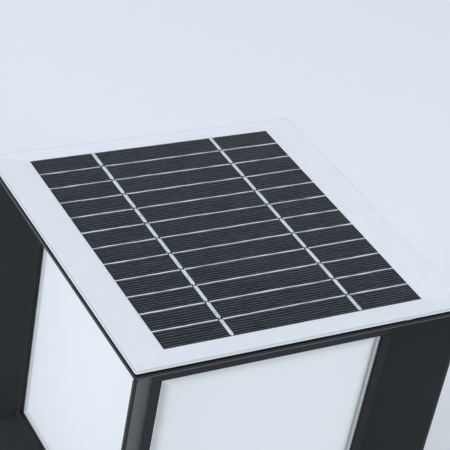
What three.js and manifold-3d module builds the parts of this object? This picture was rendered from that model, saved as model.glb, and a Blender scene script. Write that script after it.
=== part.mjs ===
// Solar pillar lamp: a coffered cube lantern with a photovoltaic lid, four opal
// diffusers, four finned corner posts, and the battery, controller and switch in
// its base. Millimetres, +Z up, the front faces -Y. The origin is the centre of
// the underside, on the surface that the lamp stands on.
import * as THREE from "three";
import { mergeVertices } from "three/addons/utils/BufferGeometryUtils.js";
import Module from "manifold-3d";

const wasm = await Module();
wasm.setup();

// ---------------------------------------------------------------- dimensions
const HALF = 100; // half of the 200 mm square outline
const TOTAL_H = 214.4; // underside of the skirt to the top of the glass
const GAP = 0.3; // clearance between pieces that rest on each other

// photovoltaic laminate, from the top down
const GLASS_T = 0.8;
const RIBBON_T = 0.15;
const CELL_T = 0.2;
const SHEET_T = 0.4;
const LAYER_GAP = 0.05;
const GLASS_Z = TOTAL_H - GLASS_T;
const RIBBON_Z = GLASS_Z - LAYER_GAP - RIBBON_T;
const CELL_Z = RIBBON_Z - LAYER_GAP - CELL_T;
const SHEET_Z = CELL_Z - LAYER_GAP - SHEET_T;
const FIELD_X = 78.2; // half width of the cell field (a 156.4 mm cell)
const ROWS = 12;
const ROW_PITCH = 14.84;
const ROW_GAP = 1.1;
const FIELD_Y0 = -HALF + 13.3; // front edge of the first strip
const RIBBON_X = 39.0;
const RIBBON_W = 2.1;

// gasket under the laminate and the lip of the top frame
const SEAL_T = 1.0;
const SEAL_INSET = 0.6;
const SEAL_Z = SHEET_Z - 0.1 - SEAL_T;
const RIM_TOP = SEAL_Z - 0.1;
const LIP_BOTTOM = SHEET_Z - 3.8;
const DECK_T = 2.2;

// inner box, windows and bevels
const BOX = 76.0; // half size over the bezels: the recess is 24 deep
const WALL = 2.4; // bezel thickness
const WIN_X = 69.0; // half width of a window
const WIN_TOP = 181.875;
const WIN_BOTTOM = 40.75;
const BEZEL_H = 7.2; // height of the bezel strip above and below a window
const TOP_RING = WIN_TOP + BEZEL_H;
const BASE_RING = WIN_BOTTOM - BEZEL_H;
const SKIRT_H = BASE_RING - (HALF - BOX); // the lower bevel is exactly 45 degrees
const FIN_T = 2.45;

// corner post
const TIE = 65; // tie rod axis, from the lamp's axis, in X and in Y
const TIE_R = 2.0;
const TIE_HOLE = 2.4;
const BOSS_R = 4.5;
const POST_Z0 = 36.125;
const POST_Z1 = 184.75;

// diffuser: a moulded opal pan whose flange is held behind the bezel
const DIFF_FLANGE = 70.0;
const DIFF_PAN = 67.8;
const DIFF_T = 2.0;
const DIFF_RISE = 1.3;
const DIFF_FACE = BOX - WALL - GAP; // outer face of the flange
const DIFF_Z0 = 36.1;
const DIFF_Z1 = 184.7;

// chamber floor and ceiling
const FLOOR_Z = 33.4;
const FLOOR_T = 2.0;
const CEIL_Z = 185.1;
const CEIL_T = 1.0;
const LEAD_HOLE = [-58, -58];

// base: cover, gasket, mounting plate
const SKIRT_WALL = 2.5;
const COVER_Z = 5.2;
const COVER_T = 2.0;
const LEDGE_Z = 9.0;
const LEDGE_T = 2.5;
const LEDGE_IN = 86.5;
const COVER_SCREW = 92.9;
const PLATE_T = 2.5;
const PLATE_HALF = 94.5;
const ANCHOR = 60; // pillar fixing holes at +-60, +-60
const ANCHOR_R = 3.25;
const LOCK_Z = 4.4;
const SWITCH = [-40, -45];
const VENT = [-72, 0];
const BUTTON_TRAVEL = 2.0;

// battery and electronics
const CELL_R = 9.2;
const CELL_L = 65;
const CELL_AXIS_Z = 18.9;
const CELL_Y = [10, 30, 50, 70];
const PCB = { x0: -12, x1: 56, y0: -75, y1: -35, z: 13.2, t: 1.6 };

// ------------------------------------------------------------------- helpers
function solid(geometry) {
  const g = geometry.index ? geometry.toNonIndexed() : geometry.clone();
  g.deleteAttribute("normal");
  g.deleteAttribute("uv");
  const m = mergeVertices(g, 1e-4);
  const triVerts = new Uint32Array(m.index.array);
  const make = () =>
    new wasm.Manifold(
      new wasm.Mesh({
        numProp: 3,
        vertProperties: new Float32Array(m.attributes.position.array),
        triVerts,
      }),
    );
  const made = make();
  if (made.volume() > 0) return made;
  // the profile ran the other way round: turn each face over
  for (let i = 0; i < triVerts.length; i += 3)
    [triVerts[i + 1], triVerts[i + 2]] = [triVerts[i + 2], triVerts[i + 1]];
  return make();
}

function geometryOf(s) {
  const m = s.getMesh();
  const v = new Float32Array(m.numVert * 3);
  for (let i = 0; i < m.numVert; i++)
    v.set(m.vertProperties.subarray(i * m.numProp, i * m.numProp + 3), i * 3);
  const g = new THREE.BufferGeometry();
  g.setAttribute("position", new THREE.BufferAttribute(v, 3));
  g.setIndex(new THREE.BufferAttribute(new Uint32Array(m.triVerts), 1));
  const flat = g.toNonIndexed();
  flat.computeVertexNormals();
  return flat;
}

const box = (x0, x1, y0, y1, z0, z1) =>
  solid(
    new THREE.BoxGeometry(x1 - x0, y1 - y0, z1 - z0).translate(
      (x0 + x1) / 2,
      (y0 + y1) / 2,
      (z0 + z1) / 2,
    ),
  );
const square = (h, z0, z1) => box(-h, h, -h, h, z0, z1);
const cyl = (x, y, z0, z1, r, n = 20) =>
  solid(
    new THREE.CylinderGeometry(r, r, z1 - z0, n)
      .rotateX(Math.PI / 2)
      .translate(x, y, (z0 + z1) / 2),
  );
const cone = (x, y, z0, r0, z1, r1, n = 16) =>
  solid(
    new THREE.CylinderGeometry(r1, r0, z1 - z0, n)
      .rotateX(Math.PI / 2)
      .translate(x, y, (z0 + z1) / 2),
  );
const cylX = (x0, x1, y, z, r, n = 20) =>
  solid(
    new THREE.CylinderGeometry(r, r, x1 - x0, n)
      .rotateZ(-Math.PI / 2)
      .translate((x0 + x1) / 2, y, z),
  );
// a square-section solid from its profile of [half size, height]
const pyramid = (profile) =>
  solid(
    new THREE.LatheGeometry(
      profile.map(([h, z]) => new THREE.Vector2(h * Math.SQRT2, z)),
      4,
    )
      .rotateY(Math.PI / 4)
      .rotateX(Math.PI / 2),
  );
const add = (first, ...rest) => rest.reduce((a, b) => a.add(b), first);
const cut = (first, ...rest) => rest.reduce((a, b) => a.subtract(b), first);

function outline(w, h, r, segments = 3) {
  const s = new THREE.Shape();
  const corners = [
    [w - r, -h + r, -Math.PI / 2],
    [w - r, h - r, 0],
    [-w + r, h - r, Math.PI / 2],
    [-w + r, -h + r, Math.PI],
  ];
  const pts = [];
  for (const [cx, cy, a0] of corners)
    for (let i = 0; i <= segments; i++) {
      const a = a0 + (i / segments) * (Math.PI / 2);
      pts.push(new THREE.Vector2(cx + r * Math.cos(a), cy + r * Math.sin(a)));
    }
  s.setFromPoints(pts);
  return s;
}

// plate with rounded corners and an arris of size c on both faces
const plate = (w, h, r, z0, z1, c, segments = 3, arris = 1) =>
  solid(
    new THREE.ExtrudeGeometry(outline(w, h, r, segments), {
      depth: z1 - z0 - 2 * c,
      bevelEnabled: c > 0,
      bevelThickness: c,
      bevelSize: c,
      bevelOffset: -c,
      bevelSegments: arris,
      curveSegments: 4,
    }).translate(0, 0, z0 + c),
  );

const prism = (points, z0, z1) => {
  const s = new THREE.Shape(points.map(([x, y]) => new THREE.Vector2(x, y)));
  return solid(
    new THREE.ExtrudeGeometry(s, {
      depth: z1 - z0,
      bevelEnabled: false,
    }).translate(0, 0, z0),
  );
};

function tube(points, r, steps, sides = 8) {
  const section = new THREE.Shape(
    Array.from({ length: sides }, (_, i) => {
      const a = (i / sides) * 2 * Math.PI;
      return new THREE.Vector2(r * Math.cos(a), r * Math.sin(a));
    }),
  );
  const path = new THREE.CatmullRomCurve3(
    points.map((p) => new THREE.Vector3(...p)),
    false,
    "centripetal",
  );
  return solid(
    new THREE.ExtrudeGeometry(section, {
      steps,
      extrudePath: path,
      bevelEnabled: false,
    }),
  );
}

const lathe = (profile, n = 20) =>
  solid(
    new THREE.LatheGeometry(
      profile.map(([r, z]) => new THREE.Vector2(r, z)),
      n,
    ).rotateX(Math.PI / 2),
  );

// -------------------------------------------------------------------- group
const lamp = new THREE.Group();
const std = (color, roughness, metalness = 0, extra = {}) =>
  new THREE.MeshStandardMaterial({ color, roughness, metalness, ...extra });
const M = {
  glass: std(0xf2f6f8, 0.12, 0, { transparent: true, opacity: 0.35 }),
  cell: std(0x2b3035, 0.45, 0.1),
  ribbon: std(0xd7dade, 0.35, 0.8),
  sheet: std(0xe6edf3, 0.55),
  seal: std(0x0d0e10, 0.75),
  frame: std(0x2c2f32, 0.5, 0.35),
  opal: std(0xe9eff5, 0.3),
  white: std(0xf2f2ee, 0.5),
  steel: std(0xb8bbbd, 0.35, 0.9),
  zinc: std(0xa9adb0, 0.45, 0.8),
  board: std(0x1d5b3a, 0.5),
  boardWhite: std(0xeeeeea, 0.45),
  black: std(0x17181a, 0.55),
  wrap: std(0x2f6ea8, 0.4),
  lead: std(0x1a1a1c, 0.6),
  red: std(0xb02a22, 0.4),
};

function piece(name, s, material, place = {}) {
  const mesh = new THREE.Mesh(geometryOf(s), material);
  mesh.name = name;
  if (place.at) mesh.position.set(...place.at);
  if (place.turn) mesh.rotation.z = place.turn;
  lamp.add(mesh);
  return mesh;
}

// ------------------------------------------------------ photovoltaic laminate
piece(
  "panel_glass",
  plate(HALF, HALF, 1.0, GLASS_Z, TOTAL_H, 0.3, 3),
  M.glass,
);
for (let i = 0; i < ROWS; i++) {
  const y0 = FIELD_Y0 + i * ROW_PITCH;
  piece(
    "cell_strip_" + String(i + 1).padStart(2, "0"),
    box(-FIELD_X, FIELD_X, y0, y0 + ROW_PITCH - ROW_GAP, CELL_Z, CELL_Z + CELL_T),
    M.cell,
  );
}
const FIELD_Y1 = FIELD_Y0 + ROWS * ROW_PITCH - ROW_GAP;
for (const [name, x] of [
  ["busbar_ribbon_left", -RIBBON_X],
  ["busbar_ribbon_right", RIBBON_X],
])
  piece(
    name,
    box(
      x - RIBBON_W / 2,
      x + RIBBON_W / 2,
      FIELD_Y0,
      FIELD_Y1,
      RIBBON_Z,
      RIBBON_Z + RIBBON_T,
    ),
    M.ribbon,
  );
piece(
  "panel_backsheet",
  cut(
    plate(HALF, HALF, 1.0, SHEET_Z, SHEET_Z + SHEET_T, 0, 3),
    // the two slots that the string's ends pass through to the junction box
    box(-9, -5, -9.5, -4.5, SHEET_Z - 1, SHEET_Z + 1),
    box(5, 9, -9.5, -4.5, SHEET_Z - 1, SHEET_Z + 1),
  ),
  M.sheet,
);
piece(
  "panel_gasket",
  cut(
    square(HALF - SEAL_INSET, SEAL_Z, SEAL_Z + SEAL_T),
    square(HALF - SEAL_INSET - 9, SEAL_Z - 1, SEAL_Z + SEAL_T + 1),
  ),
  M.seal,
);
piece(
  "junction_box",
  add(
    plate(22, 13, 2, 200.5, SHEET_Z - 0.15, 0.6, 2),
    // gland where the lead comes out
    cylX(-26, -21, 0, 204, 3.2, 12),
  ),
  M.black,
);

// ---------------------------------------------------------------- top frame
{
  const outer = pyramid([
    [0, WIN_TOP],
    [BOX, WIN_TOP],
    [BOX, TOP_RING],
    [HALF, LIP_BOTTOM],
    [HALF, RIM_TOP],
    [0, RIM_TOP],
  ]);
  const inner = pyramid([
    [0, WIN_TOP - 1],
    [BOX - WALL, WIN_TOP - 1],
    [BOX - WALL, TOP_RING + 0.4],
    [HALF - 3.6, RIM_TOP - DECK_T],
    [0, RIM_TOP - DECK_T],
  ]);
  let frame = cut(
    outer,
    inner,
    box(-25, 25, -16, 16, RIM_TOP - DECK_T - 1, RIM_TOP + 1),
  );
  for (const sx of [-1, 1])
    for (const sy of [-1, 1])
      frame = frame.add(
        cyl(sx * TIE, sy * TIE, CEIL_Z + CEIL_T + 0.4, RIM_TOP - DECK_T + 0.5, 5.2, 14),
      );
  // ribs that stiffen the deck between the bosses
  for (const s of [-1, 1]) {
    frame = frame.add(
      box(-TIE, TIE, s * TIE - 1, s * TIE + 1, 201, RIM_TOP - DECK_T + 0.5),
    );
    frame = frame.add(
      box(s * TIE - 1, s * TIE + 1, -TIE, TIE, 201, RIM_TOP - DECK_T + 0.5),
    );
  }
  for (const sx of [-1, 1])
    for (const sy of [-1, 1])
      frame = frame.subtract(
        cyl(sx * TIE, sy * TIE, CEIL_Z, 205.5, TIE_HOLE, 12),
      );
  // notches in the ribs for the photovoltaic lead
  frame = frame.subtract(box(-56, -44, -70, -60, 200, 206.5));
  piece("top_frame", frame, M.frame);
}

// ------------------------------------------------------------- corner posts
// Modelled at the back right corner (+X, +Y) and turned into place.
{
  const topAt = (d) =>
    TOP_RING + ((d - BOX) * (LIP_BOTTOM - TOP_RING)) / (HALF - BOX);
  const lowAt = (d) => BASE_RING - (d - BOX);
  const far = HALF + 4;
  const c = 0.25;
  const z0 = WIN_BOTTOM + 0.25;
  const z1 = WIN_TOP - 0.25;
  // the fin's side view: distance along the diagonal against height
  const side = new THREE.Shape(
    [
      [73.0, lowAt(BOX) + c],
      [BOX, lowAt(BOX) + c],
      [far, lowAt(far) + c],
      [far, topAt(far) - c],
      [BOX, topAt(BOX) - c],
      [73.0, topAt(BOX) - c],
    ].map(([d, z]) => new THREE.Vector2(d * Math.SQRT2, z)),
  );
  const blade = new THREE.ExtrudeGeometry(side, {
    depth: FIN_T,
    bevelEnabled: false,
  })
    .translate(0, 0, -FIN_T / 2)
    .rotateX(Math.PI / 2)
    .rotateZ(Math.PI / 4);
  let fin = solid(blade).intersect(square(HALF, 0, TOTAL_H));
  fin = cut(
    fin,
    square(BOX + GAP, z1, TOTAL_H),
    square(BOX + GAP, 0, z0),
    // the rims of the two frames close off the fin's tip
    square(HALF + 1, LIP_BOTTOM - c, TOTAL_H),
    square(HALF + 1, -1, SKIRT_H + c),
  );
  const inner = BOX - WALL;
  const web = 0.93; // the diagonal web is 1.3 thick
  let post = add(
    fin,
    box(inner, BOX, WIN_X, BOX, z0, z1),
    box(WIN_X, BOX, inner, BOX, z0, z1),
    prism(
      [
        [71 - 0.45, 71 + 0.45],
        [71 + 0.45, 71 - 0.45],
        [75 + 0.45, 75 - 0.45],
        [75 - 0.45, 75 + 0.45],
      ],
      z0,
      z1,
    ),
    prism(
      [
        [TIE - web / 2, TIE + web / 2],
        [TIE + web / 2, TIE - web / 2],
        [72.6 + web / 2, 72.6 - web / 2],
        [72.6 - web / 2, 72.6 + web / 2],
      ],
      POST_Z0,
      POST_Z1,
    ),
    cyl(TIE, TIE, POST_Z0, POST_Z1, BOSS_R, 16),
    // lips behind the two diffusers' edges
    box(69.0, 70.75, 66.0, 70.75, POST_Z0, POST_Z1),
    box(66.0, 70.75, 69.0, 70.75, POST_Z0, POST_Z1),
  );
  post = post.subtract(cyl(TIE, TIE, 0, TOTAL_H, TIE_HOLE, 12));
  for (const [name, turn] of [
    ["corner_post_back_right", 0],
    ["corner_post_back_left", Math.PI / 2],
    ["corner_post_front_left", Math.PI],
    ["corner_post_front_right", -Math.PI / 2],
  ])
    piece(name, post, M.frame, { turn });
}

// tie rods: long screws from the base, through the posts, into the top frame
{
  const rod = cut(
    add(
      cyl(0, 0, 13.6, 17.0, 3.7, 14),
      cyl(0, 0, 16.9, 203, TIE_R, 10),
    ),
    // hexagon socket in the head
    cyl(0, 0, 13.0, 15.6, 1.7, 6),
  );
  for (const [name, x, y] of [
    ["tie_rod_front_left", -TIE, -TIE],
    ["tie_rod_front_right", TIE, -TIE],
    ["tie_rod_back_left", -TIE, TIE],
    ["tie_rod_back_right", TIE, TIE],
  ])
    piece(name, rod, M.steel, { at: [x, y, 0] });
}

// ----------------------------------------------------------------- diffusers
// Modelled as the front one: the pan stands towards -Y.
{
  const zc = (DIFF_Z0 + DIFF_Z1) / 2;
  const winC = (WIN_TOP + WIN_BOTTOM) / 2;
  const panH = (WIN_TOP - WIN_BOTTOM) / 2 - (WIN_X - DIFF_PAN);
  // built lying down, face up, then stood up
  const flange = box(
    -DIFF_FLANGE,
    DIFF_FLANGE,
    DIFF_Z0 - zc,
    DIFF_Z1 - zc,
    -DIFF_T,
    0,
  );
  const pan = solid(
    new THREE.ExtrudeGeometry(outline(DIFF_PAN, panH, 3.0, 4), {
      depth: 2.0,
      bevelEnabled: true,
      bevelThickness: DIFF_RISE,
      bevelSize: DIFF_RISE,
      bevelOffset: -DIFF_RISE,
      bevelSegments: 4,
    }).translate(0, winC - zc, -2.0),
  ).intersect(
    box(-DIFF_PAN - 1, DIFF_PAN + 1, -80, 80, -1.0, DIFF_RISE + 0.5),
  );
  const back = solid(
    new THREE.ExtrudeGeometry(outline(DIFF_PAN - 2.5, panH - 2.5, 2.5, 2), {
      depth: DIFF_RISE + 1,
      bevelEnabled: false,
    }).translate(0, winC - zc, -DIFF_T - 1),
  );
  const flat = cut(add(flange, pan), back);
  const g = geometryOf(flat).rotateX(Math.PI / 2);
  g.translate(0, -DIFF_FACE, zc);
  const stood = solid(g);
  for (const [name, turn] of [
    ["diffuser_front", 0],
    ["diffuser_right", Math.PI / 2],
    ["diffuser_back", Math.PI],
    ["diffuser_left", -Math.PI / 2],
  ])
    piece(name, stood, M.opal, { turn });
}

// --------------------------------------------------- chamber floor and ceiling
const corners = [
  [-1, -1],
  [1, -1],
  [-1, 1],
  [1, 1],
];
piece(
  "ceiling_reflector",
  cut(
    square(BOX - WALL - 0.4, CEIL_Z, CEIL_Z + CEIL_T),
    ...corners.map(([x, y]) =>
      cyl(x * TIE, y * TIE, CEIL_Z - 1, CEIL_Z + CEIL_T + 1, TIE_HOLE, 12),
    ),
    cyl(...LEAD_HOLE, CEIL_Z - 1, CEIL_Z + CEIL_T + 1, 3.2, 16),
  ),
  M.white,
);
piece(
  "led_floor_plate",
  cut(
    square(BOX - WALL - 0.4, FLOOR_Z, FLOOR_Z + FLOOR_T),
    ...corners.map(([x, y]) =>
      cyl(x * TIE, y * TIE, FLOOR_Z - 1, FLOOR_Z + FLOOR_T + 1, TIE_HOLE, 12),
    ),
    cyl(...LEAD_HOLE, FLOOR_Z - 1, FLOOR_Z + FLOOR_T + 1, 3.2, 16),
    cyl(30, -45, FLOOR_Z - 1, FLOOR_Z + FLOOR_T + 1, 3.2, 16),
  ),
  M.white,
);
{
  const z = FLOOR_Z + FLOOR_T + GAP;
  let board = plate(35, 35, 3, z, z + 1.6, 0, 3);
  for (const x of [-24, -8, 8, 24])
    for (const y of [-24, -8, 8, 24])
      board = board.add(box(x - 1.75, x + 1.75, y - 1.4, y + 1.4, z + 1.5, z + 2.4));
  board = board.add(box(26.5, 33.5, -34.5, -29.5, z + 1.5, z + 4.0));
  for (const [x, y] of [
    [-31, -31],
    [31, 31],
    [-31, 31],
  ])
    board = board.subtract(cyl(x, y, z - 1, z + 3, 1.7, 12));
  piece("led_board", board, M.boardWhite);
}

// --------------------------------------------------------------- base frame
{
  const outer = pyramid([
    [0, 0],
    [HALF, 0],
    [HALF, SKIRT_H],
    [BOX, BASE_RING],
    [BOX, WIN_BOTTOM],
    [0, WIN_BOTTOM],
  ]);
  const inner = pyramid([
    [0, -1],
    [HALF - SKIRT_WALL, -1],
    [HALF - SKIRT_WALL, SKIRT_H],
    [BOX - WALL, BASE_RING - 0.4],
    [BOX - WALL, WIN_BOTTOM + 1],
    [0, WIN_BOTTOM + 1],
  ]);
  const ledge = cut(
    square(HALF - 1.2, LEDGE_Z, LEDGE_Z + LEDGE_T),
    square(LEDGE_IN, LEDGE_Z - 1, LEDGE_Z + LEDGE_T + 1),
  ).intersect(outer);
  let frame = cut(outer, inner).add(ledge);
  const reach = 84;
  for (const [sx, sy] of corners) {
    const w = 1.5 * Math.SQRT2;
    const quad = [
      [sx * TIE - w * sy * 0.5, sy * TIE + w * sx * 0.5],
      [sx * TIE + w * sy * 0.5, sy * TIE - w * sx * 0.5],
      [sx * reach + w * sy * 0.5, sy * reach - w * sx * 0.5],
      [sx * reach - w * sy * 0.5, sy * reach + w * sx * 0.5],
    ];
    const web = prism(sx * sy > 0 ? quad : quad, 20, FLOOR_Z - GAP);
    frame = frame.add(
      add(
        cyl(sx * TIE, sy * TIE, 17.3, FLOOR_Z - GAP, 5.2, 14),
        web.intersect(outer),
      ),
    );
    // corner block that takes a cover screw
    frame = frame.add(
      box(
        Math.min(sx * 89.4, sx * 98.6),
        Math.max(sx * 89.4, sx * 98.6),
        Math.min(sy * 89.4, sy * 98.6),
        Math.max(sy * 89.4, sy * 98.6),
        LEDGE_Z,
        13.0,
      ).intersect(outer),
    );
  }
  // pads that take the two lock screws
  for (const s of [-1, 1])
    frame = frame.add(
      box(
        Math.min(s * 95.0, s * 98.5),
        Math.max(s * 95.0, s * 98.5),
        -8,
        8,
        0.4,
        LEDGE_Z + 0.2,
      ),
    );
  for (const [sx, sy] of corners) {
    frame = frame.subtract(
      cyl(sx * TIE, sy * TIE, 10, FLOOR_Z + 1, TIE_HOLE, 12),
    );
    frame = frame.subtract(
      cyl(sx * COVER_SCREW, sy * COVER_SCREW, LEDGE_Z - 1, 12.3, 1.85, 12),
    );
  }
  frame = frame.subtract(cylX(-101, -90, 0, LOCK_Z, 2.35, 12));
  frame = frame.subtract(cylX(90, 101, 0, LOCK_Z, 2.35, 12));
  piece("base_frame", frame, M.frame);
}

// ----------------------------------------------------- bottom cover and seal
piece(
  "cover_gasket",
  cut(
    square(90.8, COVER_Z + COVER_T + 0.2, LEDGE_Z - 0.2),
    square(87.5, COVER_Z, LEDGE_Z + 1),
  ),
  M.seal,
);
{
  const top = COVER_Z + COVER_T;
  let cover = square(HALF - SKIRT_WALL - 0.8, COVER_Z, top);
  for (const s of [-1, 1])
    cover = cover.subtract(
      box(
        Math.min(s * 91.5, s * 99),
        Math.max(s * 91.5, s * 99),
        -13.5,
        13.5,
        COVER_Z - 1,
        top + 1,
      ),
    );
  for (const [sx, sy] of corners)
    cover = cover.subtract(
      cyl(sx * COVER_SCREW, sy * COVER_SCREW, COVER_Z - 1, top + 1, 2.0, 14),
    );
  // posts for the controller board
  for (const x of [PCB.x0 + 5, PCB.x1 - 5])
    for (const y of [PCB.y0 + 5, PCB.y1 - 5])
      cover = cover.add(cyl(x, y, top - 0.2, PCB.z - GAP, 3.0, 10));
  // low walls that locate the battery holder
  for (const s of [-1, 1])
    cover = cover.add(
      box(
        Math.min(s * 37.2, s * 39.2),
        Math.max(s * 37.2, s * 39.2),
        15,
        65,
        top - 0.2,
        13,
      ),
    );
  cover = cover.subtract(cyl(...SWITCH, COVER_Z - 1, top + 1, 6.3, 24));
  cover = cover.subtract(cyl(...VENT, COVER_Z - 1, top + 1, 4.3, 18));
  piece("bottom_cover", cover, M.black);
}
{
  // pan-head screws that hold the bottom cover
  const screw = cut(
    add(
      lathe(
        [
          [0, 3.4],
          [2.2, 3.4],
          [3.1, 4.1],
          [3.1, 4.9],
          [0, 4.9],
        ],
        14,
      ),
      cyl(0, 0, 4.8, 12.0, 1.5, 8),
    ),
    box(-1.9, 1.9, -0.4, 0.4, 3.0, 4.4),
    box(-0.4, 0.4, -1.9, 1.9, 3.0, 4.4),
  );
  for (const [name, x, y] of [
    ["cover_screw_front_left", -1, -1],
    ["cover_screw_front_right", 1, -1],
    ["cover_screw_back_left", -1, 1],
    ["cover_screw_back_right", 1, 1],
  ])
    piece(name, screw, M.steel, { at: [x * COVER_SCREW, y * COVER_SCREW, 0] });
}

// ------------------------------------------------------------ mounting plate
{
  let sheet = plate(PLATE_HALF, PLATE_HALF, 3, 0, PLATE_T, 0, 3);
  for (const s of [-1, 1])
    sheet = sheet.add(
      box(
        Math.min(s * 92.3, s * 94.5),
        Math.max(s * 92.3, s * 94.5),
        -12,
        12,
        0,
        8.0,
      ),
    );
  for (const [sx, sy] of corners)
    sheet = cut(
      sheet,
      cyl(sx * ANCHOR, sy * ANCHOR, -1, PLATE_T + 1, ANCHOR_R, 16),
      cone(sx * ANCHOR, sy * ANCHOR, 0.6, 3.2, PLATE_T + 0.2, 6.2, 16),
    );
  sheet = sheet.subtract(cyl(...SWITCH, -1, PLATE_T + 1, 15, 32));
  sheet = sheet.subtract(cyl(...VENT, -1, PLATE_T + 1, 5, 20));
  for (const s of [-1, 1])
    sheet = sheet.subtract(
      s < 0
        ? cylX(-101, -90, 0, LOCK_Z, 2.35, 12)
        : cylX(90, 101, 0, LOCK_Z, 2.35, 12),
    );
  piece("mounting_plate", sheet, M.zinc);
}
{
  const grub = cut(
    cylX(91.5, 99.6, 0, LOCK_Z, 2.0, 14),
    cylX(96.6, 101, 0, LOCK_Z, 1.1, 6),
  );
  piece("lock_screw_right", grub, M.steel);
  piece("lock_screw_left", grub, M.steel, { turn: Math.PI });
}

// -------------------------------------------------------------- push switch
piece(
  "switch_body",
  lathe(
    [
      [4.6, 3.9],
      [6.9, 3.9],
      [7.5, 4.4],
      [7.5, 4.95],
      [5.9, 4.95],
      [5.9, 20.5],
      [4.2, 20.5],
      [4.2, 24.0],
      [0, 24.0],
      [0, 18.6],
      [4.6, 18.6],
      [4.6, 3.9],
    ],
    20,
  ),
  M.black,
  { at: [...SWITCH, 0] },
);
piece(
  "switch_nut",
  cut(cyl(0, 0, 7.5, 10.3, 8.4, 6), cyl(0, 0, 7, 11, 6.25, 20)),
  M.steel,
  { at: [...SWITCH, 0] },
);
piece(
  "button_cap",
  lathe(
    [
      [0, 1.5],
      [2.6, 1.6],
      [3.7, 2.0],
      [4.2, 2.8],
      [4.2, 12.0],
      [3.2, 12.0],
      [3.2, 10.6],
      [0, 10.6],
    ],
    20,
  ),
  M.red,
  { at: [...SWITCH, 0] },
);
{
  // return spring between the cap's pocket and the end of the bore
  const turns = 4.5;
  const steps = 54;
  const z0 = 11.3;
  const z1 = 17.9;
  const coil = [];
  for (let i = 0; i <= steps; i++) {
    const a = (i / steps) * turns * 2 * Math.PI;
    coil.push([
      2.3 * Math.cos(a),
      2.3 * Math.sin(a),
      z0 + ((z1 - z0) * i) / steps,
    ]);
  }
  piece("button_spring", tube(coil, 0.28, 50, 5), M.steel, {
    at: [...SWITCH, 0],
  });
}

// ---------------------------------------------------------------- vent plug
piece(
  "vent_plug",
  lathe(
    [
      [0, 3.6],
      [5.2, 3.6],
      [6.0, 4.2],
      [6.0, 4.9],
      [3.9, 4.9],
      [3.9, 7.5],
      [4.5, 7.9],
      [3.6, 9.6],
      [0, 9.6],
    ],
    20,
  ),
  M.black,
  { at: [...VENT, 0] },
);

// ------------------------------------------------------------------ battery
{
  let holder = box(-36.5, 36.5, 0, 80, COVER_Z + COVER_T + 0.5, 16.5);
  for (const y of CELL_Y)
    holder = holder.subtract(
      cylX(-CELL_L / 2 - 0.6, CELL_L / 2 + 0.6, y, CELL_AXIS_Z, CELL_R + 0.4, 28),
    );
  piece("battery_holder", holder, M.black);
  CELL_Y.forEach((y, i) => {
    const cell = add(
      cylX(-CELL_L / 2, CELL_L / 2 - 1.4, y, CELL_AXIS_Z, CELL_R, 24),
      cylX(CELL_L / 2 - 1.6, CELL_L / 2, y, CELL_AXIS_Z, 3.2, 12),
    );
    piece("battery_cell_" + (i + 1), cell, M.wrap);
  });
}

// --------------------------------------------------------- controller board
{
  const { x0, x1, y0, y1, z, t } = PCB;
  const up = z + t;
  const cap = (x, y, r, h) => cyl(x, y, up - 0.1, up + h, r, 16);
  const chip = (x, y, w, d, h) =>
    box(x - w / 2, x + w / 2, y - d / 2, y + d / 2, up - 0.1, up + h);
  const board = add(
    box(x0, x1, y0, y1, z, up),
    chip(20, -38.5, 10, 7, 4.4), // battery connector
    chip(-8.5, -48, 7, 9, 4.4), // switch connector
    chip(-8.5, -62, 7, 9, 4.4), // panel connector
    chip(30, -45, 8, 6, 3.0), // light connector
    chip(28, -60, 10, 10, 1.6), // controller
    chip(42, -64, 12, 12, 6.5), // inductor
    chip(42, -48, 6, 5, 1.4),
    cap(50, -53, 4.0, 11),
    cap(13, -66, 3.0, 8),
    chip(12, -52, 5, 4, 1.4),
  );
  piece("controller_board", board, M.board);
}

// -------------------------------------------------------------------- leads
piece(
  "panel_lead",
  tube(
    [
      [-26.6, 0, 204],
      [-30, 0, 204],
      [-36, -7, 204],
      [-46, -34, 204],
      [-54, -52, 202],
      [-58, -58, 193],
      [-58, -58, 182],
      [-58, -58, 120],
      [-58, -58, 60],
      [-58, -58, 32],
      [-54, -59, 22],
      [-44, -62, 17.2],
      [-30, -62, 17],
      [-17, -62, 17],
      [-12.5, -62, 17],
    ],
    1.6,
    34,
  ),
  M.lead,
);
piece(
  "battery_lead",
  tube(
    [
      [20, -0.4, 12],
      [20, -8, 12],
      [20, -20, 15],
      [20, -28, 17],
      [20, -34.6, 17],
    ],
    1.3,
    9,
  ),
  M.lead,
);
piece(
  "led_lead",
  tube(
    [
      [30, -45, 18.2],
      [30, -45, 24],
      [30, -45, 31],
      [30, -45, 36],
      [30, -44, 38.3],
      [30, -41, 38.8],
      [30, -38, 38.6],
      [30, -35.1, 38.6],
    ],
    1.0,
    13,
    6,
  ),
  M.lead,
);
piece(
  "switch_lead",
  tube(
    [
      [-40, -45, 24.4],
      [-40, -45, 27],
      [-36, -45.5, 29.5],
      [-27, -47, 26],
      [-19, -48, 18.4],
      [-15.5, -48, 17],
      [-12.6, -48, 17],
    ],
    1.3,
    14,
  ),
  M.lead,
);

export default lamp;
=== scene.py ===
import math
import random

import bpy
from mathutils import Matrix, Vector, noise


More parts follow.
